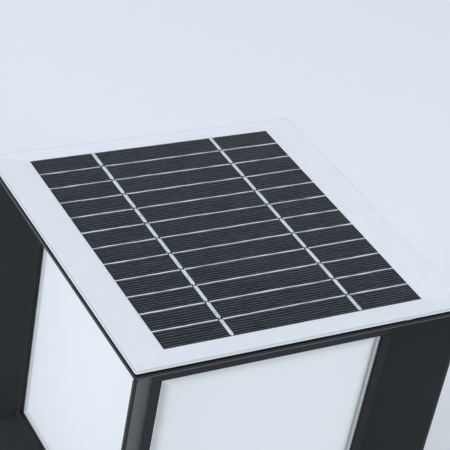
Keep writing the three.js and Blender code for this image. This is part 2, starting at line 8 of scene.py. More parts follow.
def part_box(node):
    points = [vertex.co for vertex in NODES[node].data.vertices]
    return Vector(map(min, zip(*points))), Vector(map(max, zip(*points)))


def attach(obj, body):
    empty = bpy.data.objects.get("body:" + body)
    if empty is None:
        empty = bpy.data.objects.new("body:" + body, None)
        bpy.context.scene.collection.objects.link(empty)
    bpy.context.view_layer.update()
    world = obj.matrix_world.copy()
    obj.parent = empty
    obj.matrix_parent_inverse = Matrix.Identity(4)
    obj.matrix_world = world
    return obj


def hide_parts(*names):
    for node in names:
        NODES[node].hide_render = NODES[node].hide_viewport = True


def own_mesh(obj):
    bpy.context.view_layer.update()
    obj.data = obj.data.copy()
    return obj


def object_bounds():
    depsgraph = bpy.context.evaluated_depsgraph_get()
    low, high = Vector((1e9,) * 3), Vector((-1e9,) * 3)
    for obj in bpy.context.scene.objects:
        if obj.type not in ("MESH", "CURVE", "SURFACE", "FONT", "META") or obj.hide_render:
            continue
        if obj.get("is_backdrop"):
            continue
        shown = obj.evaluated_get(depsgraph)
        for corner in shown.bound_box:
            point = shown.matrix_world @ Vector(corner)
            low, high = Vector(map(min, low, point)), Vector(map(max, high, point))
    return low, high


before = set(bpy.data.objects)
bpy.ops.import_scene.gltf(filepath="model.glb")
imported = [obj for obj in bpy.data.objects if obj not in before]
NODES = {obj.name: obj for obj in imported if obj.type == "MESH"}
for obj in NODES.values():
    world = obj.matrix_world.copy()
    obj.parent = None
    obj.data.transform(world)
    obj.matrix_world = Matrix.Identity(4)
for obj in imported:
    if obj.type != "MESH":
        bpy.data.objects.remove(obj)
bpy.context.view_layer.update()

MM = 0.001
SCENE = bpy.context.scene


# ------------------------------------------------------------------ materials
def srgb(r, g, b):
    """Linear colour of an sRGB one given as 0 to 255."""

    def one(c):
        c /= 255.0
        return c / 12.92 if c <= 0.04045 else ((c + 0.055) / 1.055) ** 2.4

    return (one(r), one(g), one(b), 1.0)


class Paint:
    """A node material built around one Principled shader, in object coordinates (metres)."""

    def __init__(self, name, colour, roughness, **sockets):
        self.m = bpy.data.materials.new(name)
        self.m.use_nodes = True
        self.t = self.m.node_tree
        self.t.nodes.clear()
        self.out = self.add("ShaderNodeOutputMaterial")
        self.p = self.add("ShaderNodeBsdfPrincipled")
        self.link(self.p.outputs["BSDF"], self.out.inputs["Surface"])
        self.p.inputs["Base Color"].default_value = colour
        self.p.inputs["Roughness"].default_value = roughness
        for key, value in sockets.items():
            self.p.inputs[key.replace("_", " ")].default_value = value
        self.m.diffuse_color = colour
        self.coord = None
        self.last_normal = None

    def add(self, kind, **props):
        n = self.t.nodes.new(kind)
        for key, value in props.items():
            setattr(n, key, value)
        return n

    def link(self, a, b):
        self.t.links.new(a, b)

    def where(self, scale=(1, 1, 1), turn=(0, 0, 0)):
        if self.coord is None:
            self.coord = self.add("ShaderNodeTexCoord")
        m = self.add("ShaderNodeMapping")
        m.inputs["Scale"].default_value = scale
        m.inputs["Rotation"].default_value = turn
        self.link(self.coord.outputs["Object"], m.inputs["Vector"])
        return m.outputs["Vector"]

    def noise(self, scale, detail=3.0, rough=0.5, stretch=(1, 1, 1), distortion=0.0):
        n = self.add("ShaderNodeTexNoise")
        n.inputs["Scale"].default_value = scale
        n.inputs["Detail"].default_value = detail
        n.inputs["Roughness"].default_value = rough
        n.inputs["Distortion"].default_value = distortion
        self.link(self.where(stretch), n.inputs["Vector"])
        return n.outputs["Fac"]

    def voronoi(self, scale, feature="F1", stretch=(1, 1, 1)):
        n = self.add("ShaderNodeTexVoronoi", feature=feature)
        n.inputs["Scale"].default_value = scale
        self.link(self.where(stretch), n.inputs["Vector"])
        return n.outputs

    def spread(self, value, low, high, at=(0.3, 0.7)):
        """value, from at[0] to at[1], stretched to low to high."""
        n = self.add("ShaderNodeMapRange")
        n.inputs["From Min"].default_value = at[0]
        n.inputs["From Max"].default_value = at[1]
        n.inputs["To Min"].default_value = low
        n.inputs["To Max"].default_value = high
        self.link(value, n.inputs["Value"])
        return n.outputs["Result"]

    def colours(self, value, stops):
        n = self.add("ShaderNodeValToRGB")
        e = n.color_ramp.elements
        e[0].position, e[0].color = stops[0]
        e[1].position, e[1].color = stops[-1]
        for position, colour in stops[1:-1]:
            x = e.new(position)
            x.color = colour
        self.link(value, n.inputs["Fac"])
        return n.outputs["Color"]

    def colour_by(self, value, stops):
        c = self.colours(value, stops)
        self.link(c, self.p.inputs["Base Color"])
        return c

    def rough_by(self, value, low, high, at=(0.3, 0.7)):
        self.link(self.spread(value, low, high, at), self.p.inputs["Roughness"])

    def bump(self, value, depth_mm, strength=1.0):
        n = self.add("ShaderNodeBump")
        n.inputs["Strength"].default_value = strength
        n.inputs["Distance"].default_value = depth_mm * MM
        self.link(value, n.inputs["Height"])
        if self.last_normal is not None:
            self.link(self.last_normal, n.inputs["Normal"])
        self.last_normal = n.outputs["Normal"]
        self.link(self.last_normal, self.p.inputs["Normal"])


def shade(c, k):
    return (c[0] * k, c[1] * k, c[2] * k, 1.0)


def powder_coat():
    base = srgb(*COAT)
    p = Paint("powder_coated_aluminium", base, COAT_ROUGH)
    p.p.inputs["Specular IOR Level"].default_value = COAT_SPEC
    peel = p.noise(520.0, 3.0, 0.55)
    grain = p.noise(2600.0, 2.0, 0.6)
    broad = p.noise(14.0, 2.0, 0.5)
    p.colour_by(broad, [(0.30, shade(base, 0.93)), (0.70, shade(base, 1.07))])
    p.rough_by(peel, COAT_ROUGH - 0.05, COAT_ROUGH + 0.06)
    p.bump(peel, 0.022, 0.55)
    p.bump(grain, 0.006, 0.5)
    return p.m


def bead_coat():
    # painted highlight: the bead is coloured far lighter than the frame's coat, to stand for the light its edge
    # catches
    base = srgb(92, 94, 97)
    p = Paint("bead_coat_painted_highlight", base, 0.42)
    p.p.inputs["Specular IOR Level"].default_value = 0.3
    n = p.noise(300.0, 3.0, 0.6)
    p.colour_by(n, [(0.3, shade(base, 0.7)), (0.7, shade(base, 1.3))])
    p.rough_by(n, 0.36, 0.50)
    return p.m


def opal():
    base = srgb(*OPAL)
    p = Paint("opal_acrylic", base, 0.42)
    p.p.inputs["Subsurface Weight"].default_value = 0.35
    p.p.inputs["Subsurface Radius"].default_value = (1.0, 1.0, 1.0)
    p.p.inputs["Subsurface Scale"].default_value = 0.0016
    p.p.inputs["Specular IOR Level"].default_value = 0.35
    cloud = p.noise(9.0, 2.0, 0.5)
    fine = p.noise(900.0, 2.0, 0.5)
    c = p.colours(cloud, [(0.25, shade(base, 0.985)), (0.75, shade(base, 1.01))])
    # painted shade: the colour is multiplied by a per-vertex shade that darkens it towards the pan's formed edges
    tone = p.add("ShaderNodeAttribute", attribute_name="painted_edge_shade")
    mul = p.add("ShaderNodeMix", data_type="RGBA", blend_type="MULTIPLY")
    mul.inputs["Factor"].default_value = 1.0
    p.link(c, mul.inputs["A"])
    p.link(tone.outputs["Color"], mul.inputs["B"])
    p.link(mul.outputs["Result"], p.p.inputs["Base Color"])
    p.rough_by(fine, 0.38, 0.46)
    p.bump(fine, 0.004, 0.4)
    return p.m


def silicon():
    low, mid, high = srgb(*CELL_A), srgb(*CELL_B), srgb(*CELL_C)
    p = Paint("monocrystalline_silicon", mid, 0.42)
    p.p.inputs["Specular IOR Level"].default_value = 0.12
    streak = p.noise(110.0, 2.0, 0.5, stretch=(0.45, 4.4, 1.0))
    cloud = p.noise(32.0, 3.0, 0.6)
    c1 = p.colours(streak, [(0.28, low), (0.50, mid), (0.72, high)])
    c2 = p.colours(cloud, [(0.25, (0.86, 0.87, 0.90, 1)), (0.75, (1.12, 1.10, 1.06, 1))])
    mul = p.add("ShaderNodeMix", data_type="RGBA", blend_type="MULTIPLY")
    mul.inputs["Factor"].default_value = 1.0
    p.link(c1, mul.inputs["A"])
    p.link(c2, mul.inputs["B"])
    p.link(mul.outputs["Result"], p.p.inputs["Base Color"])
    p.rough_by(streak, 0.46, 0.60)
    p.bump(cloud, 0.004, 0.3)
    return p.m


def tinned():
    base = srgb(*TIN)
    p = Paint("tinned_copper", base, 0.38, Metallic=0.35)
    ripple = p.noise(420.0, 3.0, 0.6, stretch=(1.0, 0.45, 1.0))
    p.colour_by(ripple, [(0.28, shade(base, 0.72)), (0.50, base), (0.72, shade(base, 1.12))])
    p.rough_by(ripple, 0.30, 0.48)
    p.bump(ripple, 0.05, 0.6)
    return p.m


def finger_silver():
    base = srgb(*FINGER)
    p = Paint("printed_silver", base, 0.5, Metallic=0.2)
    n = p.noise(700.0, 3.0, 0.7, stretch=(0.35, 1.0, 1.0))
    p.colour_by(n, [(0.34, shade(base, 0.35)), (0.52, base), (0.70, shade(base, 1.5))])
    p.rough_by(n, 0.42, 0.58)
    return p.m


def backsheet(name, colour):
    base = srgb(*colour)
    p = Paint(name, base, 0.5)
    n = p.noise(160.0, 4.0, 0.6)
    p.colour_by(n, [(0.25, shade(base, 0.975)), (0.75, shade(base, 1.01))])
    p.rough_by(n, 0.45, 0.55)
    p.bump(n, 0.01, 0.3)
    return p.m


def dip_shade():
    # painted shade: a dark sheet for the shade at the ribbon dips
    base = srgb(26, 29, 34)
    p = Paint("ribbon_dip_painted_shade", base, 0.55)
    p.p.inputs["Specular IOR Level"].default_value = 0.15
    n = p.noise(900.0, 2.0, 0.5)
    p.colour_by(n, [(0.3, shade(base, 0.7)), (0.7, shade(base, 1.6))])
    p.rough_by(n, 0.48, 0.62)
    return p.m


def front_sheet():
    """Clear textured front. A shadow ray passes straight through, so that lamps light the cells."""
    p = Paint("solar_front_sheet", (1.0, 1.0, 1.0, 1.0), 0.06)
    p.p.inputs["Transmission Weight"].default_value = 1.0
    p.p.inputs["IOR"].default_value = 1.09
    p.p.inputs["Specular IOR Level"].default_value = 0.5
    texture = p.noise(650.0, 2.0, 0.5)
    p.rough_by(texture, 0.02, 0.045)
    path = p.add("ShaderNodeLightPath")
    clear = p.add("ShaderNodeBsdfTransparent")
    mix = p.add("ShaderNodeMixShader")
    p.link(path.outputs["Is Shadow Ray"], mix.inputs["Fac"])
    p.link(p.p.outputs["BSDF"], mix.inputs[1])
    p.link(clear.outputs["BSDF"], mix.inputs[2])
    p.link(mix.outputs["Shader"], p.out.inputs["Surface"])
    return p.m


def rubber():
    base = srgb(11, 12, 14)
    p = Paint("epdm_rubber", base, 0.8)
    p.p.inputs["Specular IOR Level"].default_value = 0.12
    n = p.noise(1100.0, 3.0, 0.6)
    p.colour_by(n, [(0.3, shade(base, 0.8)), (0.7, shade(base, 1.25))])
    p.rough_by(n, 0.74, 0.88)
    p.bump(n, 0.012, 0.5)
    return p.m


def moulded_black():
    base = srgb(30, 31, 33)
    p = Paint("black_nylon", base, 0.52)
    grain = p.noise(1500.0, 3.0, 0.6)
    broad = p.noise(40.0, 2.0, 0.5)
    p.colour_by(broad, [(0.3, shade(base, 0.9)), (0.7, shade(base, 1.1))])
    p.rough_by(grain, 0.46, 0.60)
    p.bump(grain, 0.014, 0.6)
    return p.m


def button_rubber():
    base = srgb(150, 26, 22)
    p = Paint("button_red", base, 0.42)
    grain = p.noise(1200.0, 3.0, 0.6)
    p.colour_by(p.noise(120.0, 2.0, 0.5), [(0.3, shade(base, 0.88)), (0.7, shade(base, 1.08))])
    p.rough_by(grain, 0.36, 0.50)
    p.bump(grain, 0.006, 0.5)
    return p.m


def zinc():
    base = srgb(168, 172, 176)
    p = Paint("galvanised_steel", base, 0.42, Metallic=0.9)
    v = p.voronoi(95.0)
    p.colour_by(v["Distance"], [(0.0, shade(base, 1.08)), (0.55, base), (1.0, shade(base, 0.80))])
    mottle = p.noise(260.0, 4.0, 0.6)
    p.rough_by(mottle, 0.34, 0.56)
    p.bump(mottle, 0.012, 0.4)
    return p.m


def stainless():
    base = srgb(176, 178, 180)
    p = Paint("stainless_steel", base, 0.3, Metallic=1.0)
    turn = p.noise(800.0, 3.0, 0.6, stretch=(1.0, 1.0, 0.12))
    p.colour_by(turn, [(0.3, shade(base, 0.85)), (0.7, shade(base, 1.05))])
    p.rough_by(turn, 0.22, 0.38)
    p.bump(turn, 0.006, 0.4)
    return p.m


def white_paint(name, colour, rough):
    base = srgb(*colour)
    p = Paint(name, base, rough)
    n = p.noise(300.0, 3.0, 0.6)
    p.colour_by(n, [(0.3, shade(base, 0.97)), (0.7, shade(base, 1.02))])
    p.rough_by(n, rough - 0.06, rough + 0.06)
    p.bump(n, 0.010, 0.4)
    return p.m


def circuit():
    base = srgb(24, 74, 44)
    p = Paint("controller_laminate", base, 0.36)
    v = p.voronoi(330.0, feature="DISTANCE_TO_EDGE", stretch=(1.0, 0.6, 1.0))
    p.colour_by(v["Distance"], [(0.02, shade(base, 1.6)), (0.10, base), (1.0, shade(base, 0.85))])
    p.rough_by(p.noise(500.0, 2.0, 0.5), 0.30, 0.44)
    return p.m


def wrap():
    base = srgb(38, 78, 132)
    p = Paint("battery_wrap", base, 0.3)
    n = p.noise(220.0, 3.0, 0.5, stretch=(0.2, 1.0, 1.0))
    p.colour_by(n, [(0.3, shade(base, 0.92)), (0.7, shade(base, 1.08))])
    p.rough_by(n, 0.24, 0.38)
    p.bump(n, 0.02, 0.4)
    return p.m


def jacket():
    base = srgb(26, 26, 28)
    p = Paint("lead_jacket_pvc", base, 0.5)
    n = p.noise(900.0, 2.0, 0.5)
    p.colour_by(n, [(0.3, shade(base, 0.85)), (0.7, shade(base, 1.15))])
    p.rough_by(n, 0.44, 0.58)
    p.bump(n, 0.01, 0.4)
    return p.m


COAT = (32, 33, 34)
COAT_ROUGH = 0.36
COAT_SPEC = 0.20
OPAL = (231, 232, 232)
CELL_A, CELL_B, CELL_C = (13, 15, 19), (24, 27, 31), (41, 43, 47)
TIN = (222, 226, 231)
FINGER = (118, 122, 126)
SHEET = (227, 229, 231)
# painted shade: a darker copy of the backsheet white for the laminate's edge, so its lit rim reads no brighter than
# the border and the far edges show a thin grey line
SHADED_EDGE_WHITE = (203, 205, 208)

MAT = {
    "coat": powder_coat(),
    "bead": bead_coat(),
    "opal": opal(),
    "cell": silicon(),
    "tin": tinned(),
    "finger": finger_silver(),
    "sheet": backsheet("white_backsheet", SHEET),
    "edge": backsheet("laminate_edge_painted_shade", SHADED_EDGE_WHITE),
    "dip_shade": dip_shade(),
    "glass": front_sheet(),
    "rubber": rubber(),
    "black": moulded_black(),
    "button": button_rubber(),
    "zinc": zinc(),
    "steel": stainless(),
    "reflector": white_paint("white_reflector_paint", (236, 238, 240), 0.45),
    "led": white_paint("led_board_solder_mask", (228, 231, 230), 0.32),
    "circuit": circuit(),
    "wrap": wrap(),
    "jacket": jacket(),
}

NODE_PAINT = {
    "panel_glass": "glass",
    "busbar_ribbon": "tin",
    "cell_strip": "cell",
    "panel_backsheet": "sheet",
    "panel_gasket": "rubber",
    "junction_box": "black",
    "top_frame": "coat",
    "corner_post": "coat",
    "tie_rod": "steel",
    "diffuser": "opal",
    "ceiling_reflector": "reflector",
    "led_floor_plate": "reflector",
    "led_board": "led",
    "base_frame": "coat",
    "cover_gasket": "rubber",
    "bottom_cover": "black",
    "cover_screw": "steel",
    "mounting_plate": "zinc",
    "lock_screw": "steel",
    "switch_body": "black",
    "switch_nut": "steel",
    "button_cap": "button",
    "button_spring": "steel",
    "vent_plug": "black",
    "battery_holder": "black",
    "battery_cell": "wrap",
    "controller_board": "circuit",
    "panel_lead": "jacket",
    "battery_lead": "jacket",
    "led_lead": "jacket",
    "switch_lead": "jacket",
}


def paint_of(name):
    keys = sorted((k for k in NODE_PAINT if name.startswith(k)), key=len)
    return MAT[NODE_PAINT[keys[-1]]]


for name, node in NODES.items():
    if not node.material_slots:
        node.data.materials.append(None)
    for s in node.material_slots:
        s.material = paint_of(name)


# ----------------------------------------------- rounded edges on CAD pieces
def soften(name, width_mm, segments=2, angle=28.0):
    """Edge rounding as a modifier: the CAD node's own mesh stays as it is."""
    o = NODES[name]
    w = o.modifiers.new("weld", "WELD")
    w.merge_threshold = 2e-6
    d = o.modifiers.new("flat", "DECIMATE")
    d.decimate_type = "DISSOLVE"
    d.angle_limit = math.radians(0.4)
    b = o.modifiers.new("edge", "BEVEL")
    b.width = width_mm * MM
    b.segments = segments
    b.limit_method = "ANGLE"
    b.angle_limit = math.radians(angle)
    b.use_clamp_overlap = True
    b.harden_normals = False
    b.miter_outer = "MITER_SHARP"
    n = o.modifiers.new("normals", "WEIGHTED_NORMAL")
    n.keep_sharp = False
    n.weight = 60
    for f in o.data.polygons:
        f.use_smooth = True


SOFT = {
    "top_frame": 0.35,
    "base_frame": 0.35,
    "corner_post_front_left": 0.12,
    "corner_post_front_right": 0.12,
    "corner_post_back_left": 0.12,
    "corner_post_back_right": 0.12,
    "mounting_plate": 0.25,
    "bottom_cover": 0.30,
    "panel_gasket": 0.20,
    "junction_box": 0.20,
    "battery_holder": 0.20,
    "button_cap": 0.15,
    "switch_nut": 0.20,
}
for name, width in SOFT.items():
    soften(name, width)


def round_off(name, angle=35.0):
    """Smooth shading over a turned piece, with its real edges kept sharp."""
    o = NODES[name]
    w = o.modifiers.new("weld", "WELD")
    w.merge_threshold = 2e-6
    for f in o.data.polygons:
        f.use_smooth = True
    e = o.modifiers.new("split", "EDGE_SPLIT")
    e.split_angle = math.radians(angle)


for name in NODES:
    if name.startswith(
        (
            "tie_rod",
            "cover_screw",
            "lock_screw",
            "switch_body",
            "vent_plug",
            "battery_cell",
            "panel_lead",
            "battery_lead",
            "led_lead",
            "switch_lead",
        )
    ):
        round_off(name)


# -------------------------------------------------------------- mesh helpers
def mesh_piece(name, verts, faces, material, body="lamp", smooth=False, slot=None, replaces=()):
    me = bpy.data.meshes.new(name)
    me.from_pydata([tuple(v) for v in verts], [], faces)
    me.validate()
    me.update()
    for f in me.polygons:
        f.use_smooth = smooth
    o = bpy.data.objects.new(name, me)
    SCENE.collection.objects.link(o)
    me.materials.append(material)
    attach(o, body)
    if replaces:
        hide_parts(*replaces)
    return o


def slab(columns, z0, z1):
    """A closed strip from (x, y_low, y_high) columns, between two heights."""
    verts, faces = [], []
    for x, a, b in columns:
        verts += [(x, a, z0), (x, b, z0), (x, a, z1), (x, b, z1)]
    n = len(columns)
    for i in range(n - 1):
        p, q = 4 * i, 4 * (i + 1)
        faces += [
            (p + 2, q + 2, q + 3, p + 3),  # top
            (p + 0, p + 1, q + 1, q + 0),  # bottom
            (p + 0, q + 0, q + 2, p + 2),  # low side
            (p + 1, p + 3, q + 3, q + 1),  # high side
        ]
    e = 4 * (n - 1)
    faces += [(0, 2, 3, 1), (e + 0, e + 1, e + 3, e + 2)]
    return verts, faces


def wander(x, seed, period, size):
    """A smooth random line."""
    return size * noise.noise(Vector((x / period, seed * 7.31, seed * 1.7)))


# ------------------------------------------------------------ solar cells
ROWS = 12
strips = []
for i in range(ROWS):
    name = f"cell_strip_{i + 1:02d}"
    low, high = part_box(name)
    strips.append((low, high))
    n = 120
    cols = []
    for k in range(n + 1):
        x = low[0] + (high[0] - low[0]) * k / n
        front = wander(x, i * 2 + 1, 0.009, 0.00034) + wander(x, i + 40, 0.045, 0.00020)
        back = wander(x, i * 2 + 2, 0.009, 0.00034) + wander(x, i + 41, 0.045, 0.00020)
        if i == 0:
            front *= 0.3
        if i == ROWS - 1:
            back *= 0.3
        cols.append((x, low[1] + front, high[1] + back))
    v, f = slab(cols, low[2], high[2])
    mesh_piece(f"cell_{i + 1:02d}", v, f, MAT["cell"], slot="silicon_cell", replaces=[name])

# printed fingers: fine lines along each strip, a hair above it
fv, ff = [], []
rng = random.Random(11)
for i, (low, high) in enumerate(strips):
    depth = high[1] - low[1]
    count = 7
    for k in range(count):
        y = low[1] + depth * (k + 0.5) / count
        n = 24
        cols = []
        for j in range(n + 1):
            x = low[0] + 0.0009 + (high[0] - low[0] - 0.0018) * j / n
            yy = y + wander(x, i * 20 + k, 0.03, 0.00010)
            w = 0.00009
            cols.append((x, yy - w, yy + w))
        v, f = slab(cols, high[2] + 0.000001, high[2] + 0.000022)
        base = len(fv)
        fv += v
        ff += [tuple(a + base for a in face) for face in f]
mesh_piece("cell_fingers", fv, ff, MAT["finger"], slot="silicon_cell")

# ribbons: one length per strip, necked where it dips under the next strip
dips = []
for side, name in (("left", "busbar_ribbon_left"), ("right", "busbar_ribbon_right")):
    low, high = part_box(name)
    cx, half = (low[0] + high[0]) / 2, (high[0] - low[0]) / 2
    rng = random.Random(5 if side == "left" else 6)
    rows = []
    for i, (a, b) in enumerate(strips):
        shift = rng.uniform(-0.00012, 0.00012)
        y0, y1 = a[1], b[1]
        end = strips[i + 1][0][1] if i + 1 < ROWS else high[1]
        length = y1 - y0
        stops = [
            (0.0, 0.22), (0.022, 0.30), (0.040, 0.90), (0.07, 1.0), (0.5, 1.0), (0.90, 1.0), (0.965, 0.94), (0.985, 0.30),
        ]
        for t, k in stops:
            y = y0 + length * t
            edge = 1.0 + 0.06 * noise.noise(Vector((y * 900, i * 3.1, cx * 50)))
            rows.append((y, cx + shift - half * k * edge, cx + shift + half * k * edge))
        if i + 1 < ROWS:
            gap = (y1 + end) / 2
            rows.append((gap, cx - half * 0.20, cx + half * 0.12))
            dips.append((cx + shift, y1, end, half))
    rows = sorted(rows)
    rows[0] = (low[1], rows[0][1], rows[0][2])
    verts, faces = slab([(y, x0, x1) for y, x0, x1 in rows], low[2], high[2])
    # built along X, so swap to run along Y, and turn the faces round with it
    verts = [(y, x, z) for x, y, z in verts]
    faces = [tuple(reversed(f)) for f in faces]
    mesh_piece(f"ribbon_{side}", verts, faces, MAT["tin"], slot="tinned_ribbon", replaces=[name])


# painted shade: dark pads in the row gaps, under the ribbons' necks, stand for the shade where each ribbon dips under
# the next strip
dv, df = [], []
rng = random.Random(23)
for cx, y0, y1, half in dips:
    z1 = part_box("cell_strip_01")[1][2]
    z0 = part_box("panel_backsheet")[1][2] + 0.00001
    left, right = half * rng.uniform(0.95, 1.1), half * rng.uniform(1.15, 1.4)
    a, b = y0 + 0.00008, y1 - 0.00008
    verts, faces = slab([(cx - left, a + 0.0001, b), (cx - left * 0.5, a, b), (cx + right * 0.6, a, b), (cx + right, a, b - 0.0001)], z0, z1)
    base = len(dv)
    dv += verts
    df += [tuple(i + base for i in face) for face in faces]
mesh_piece("ribbon_dip_shade_pads", dv, df, MAT["dip_shade"], slot="silicon_cell")


# ----------------------------------------- front sheet and the laminate's edge
def rounded_square(half, radius, n=6):
    """Corner points of a rounded square, anticlockwise."""
    pts = []
    for k, (sx, sy) in enumerate(((1, 1), (-1, 1), (-1, -1), (1, -1))):
        cx, cy = sx * (half - radius), sy * (half - radius)
        for i in range(n + 1):
            a = math.pi / 2 * (k + i / n)
            pts.append((cx + radius * math.cos(a), cy + radius * math.sin(a)))
    return pts


def ringed(name, profile, material, closed, **kw):
    """A body swept round the lid: profile is (half width, height, corner radius) from one side to the other."""
    verts, faces = [], []
    rings = [rounded_square(h, r) for h, z, r in profile]
    n = len(rings[0])
    for ring, (h, z, r) in zip(rings, profile):
        verts += [(x, y, z) for x, y in ring]
    m = len(profile)
    for j in range(m if closed else m - 1):
        a, b = j * n, ((j + 1) % m) * n
        for i in range(n):
            k = (i + 1) % n
            faces.append((a + i, a + k, b + k, b + i))
    if not closed:
        faces.append(tuple(reversed(range(n))))
        faces.append(tuple(range((m - 1) * n, m * n)))
    return mesh_piece(name, verts, faces, material, **kw)


low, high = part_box("panel_glass")
top, half = high[2], high[0]
sheet_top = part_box("panel_backsheet")[1][2]
border_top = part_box("busbar_ribbon_left")[0][2] - 0.00003
z_low = sheet_top + 0.000015
plate = half - 0.00045
ringed(
    "front_sheet",
    [
        (plate, low[2], 0.0005),
        (plate, top - 0.00003, 0.0005),
    ],
    MAT["glass"],
    False,
    slot="panel_glass",
    replaces=["panel_glass"],
)


def border_sheet():
    """The white laminate round the cell field: it climbs gently to the lid's edge and closes it."""
    field_low, field_high = strips[0][0], strips[-1][1]
    m, c, e = 0.0006, 0.0007, 0.0002
    x0, x1 = field_low[0] - m, field_high[0] + m
    y0, y1 = field_low[1] - m, field_high[1] + m

    def outline(h, c):
        return [(h, h - c), (h - c, h), (-h + c, h), (-h, h - c), (-h, -h + c), (-h + c, -h), (h - c, -h), (h, -h + c)]

    inner = [(x1, y1 - e), (x1 - e, y1), (x0 + e, y1), (x0, y1 - e), (x0, y0 + e), (x0 + e, y0), (x1 - e, y0), (x1, y0 + e)]
    z0 = sheet_top + 0.00001
    rings = [
        (inner, z0),
        (outline(half - 0.00006, c), z0),
        (outline(half - 0.00006, c), top - 0.00022),
        (outline(half - 0.00020, c), top - 0.00006),
        (outline(half - 0.00040, c), top - 0.00003),
        (outline(half - 0.00060, c), top - 0.00009),
        (inner, border_top),
    ]
    verts = [(x, y, z) for ring, z in rings for x, y in ring]
    faces = []
    n = len(rings)
    for k in range(n):
        a, b = 8 * k, 8 * ((k + 1) % n)
        for i in range(8):
            j = (i + 1) % 8
            faces.append((a + i, a + j, b + j, b + i))
    mesh_piece("border_sheet", verts, faces, MAT["sheet"], slot="white_backsheet")


border_sheet()
# painted shade: the edge ring takes the darker copy of the backsheet white
ringed(
    "laminate_edge",
    [
        (half - 0.00040, z_low, 0.0006),
        (half, z_low, 0.0008),
        (half, top - 0.00020, 0.0008),
        (half - 0.00006, top - 0.00007, 0.0008),
        (half - 0.00020, top - 0.00001, 0.0007),
        (half - 0.00040, top - 0.00001, 0.0006),
    ],
    MAT["edge"],
    True,
    slot="white_backsheet",
)

# the rolled bead along the lower edge of the lip; its coat is painted much lighter than the frame, a painted highlight
# line
bead_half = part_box("top_frame")[1][0]
bead_z, bead_r = 0.20935, 0.00020
bead = [(bead_half - 0.00006, bead_z - bead_r, 0.0010)]
for k in range(9):
    a = math.pi * (k / 8 - 0.5)
    bead.append((bead_half + 0.00016 * math.cos(a), bead_z + bead_r * math.sin(a), 0.0010))
bead.append((bead_half - 0.00006, bead_z + bead_r, 0.0010))
ringed("lip_bead", bead, MAT["bead"], True, smooth=True, slot="powder_coated_frame")

# the seal's outer flange, folded down over the top of the lip
seal_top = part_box("panel_gasket")[1][2]
ringed(
    "seal_flange",
    [
        (bead_half - 0.00050, seal_top - 0.00155, 0.0008),
        (bead_half + 0.00002, seal_top - 0.00155, 0.0010),
        (bead_half + 0.00008, seal_top - 0.00145, 0.0010),
        (bead_half + 0.00008, seal_top - 0.00030, 0.0010),
        (bead_half - 0.00002, seal_top - 0.00004, 0.0010),
        (bead_half - 0.00050, seal_top, 0.0008),
    ],
    MAT["rubber"],
    True,
    slot="black_rubber",
)


# sealing strips in the mitred joints between the fins and the two frames
def joint_strips():
    half, box = 0.100, 0.076
    top0, top1 = 0.189075, 0.2089
    low0, low1 = 0.03355, 0.00955
    verts, faces = [], []
    w = 0.00098
    for sx, sy in ((1, 1), (-1, 1), (-1, -1), (1, -1)):
        along = Vector((sx, sy, 0)).normalized()
        across = Vector((-along.y, along.x, 0))
        for z0, z1 in ((top0, top1), (low0, low1)):
            base = len(verts)
            for d in (0.0764, 0.0990):
                z = z0 + (z1 - z0) * (d - box) / (half - box)
                c = Vector((sx * d, sy * d, z))
                for off, up in ((-w, -0.0006), (w, -0.0006), (w, 0.0006), (-w, 0.0006)):
                    verts.append(tuple(c + across * off + Vector((0, 0, up))))
            for a, b, c2, d2 in ((3, 2, 1, 0), (4, 5, 6, 7), (0, 1, 5, 4), (1, 2, 6, 5), (2, 3, 7, 6), (3, 0, 4, 7)):
                faces.append((base + a, base + b, base + c2, base + d2))
    mesh_piece("joint_strips", verts, faces, MAT["coat"], slot="powder_coated_frame")


joint_strips()

# a flash of backsheet left at the front edge
# the flash also takes the darker, painted-shade copy of the backsheet white
v, f = slab([(0.0600, -0.10016, -0.0995), (0.0602, -0.10034, -0.0995), (0.0636, -0.10034, -0.0995), (0.0638, -0.10016, -0.0995)], sheet_top - 0.0004, sheet_top + 0.0004)
mesh_piece("sheet_flash", v, f, MAT["edge"], slot="white_backsheet")


# ------------------------------------------------------------- opal diffusers
def rounded_inside(u, v, hu, hv, r):
    """Distance inwards from a rounded rectangle's outline, 0 outside it."""
    qx, qy = abs(u) - (hu - r), abs(v) - (hv - r)
    outside = math.hypot(max(qx, 0.0), max(qy, 0.0)) + min(max(qx, qy), 0.0) - r
    return max(0.0, -outside)


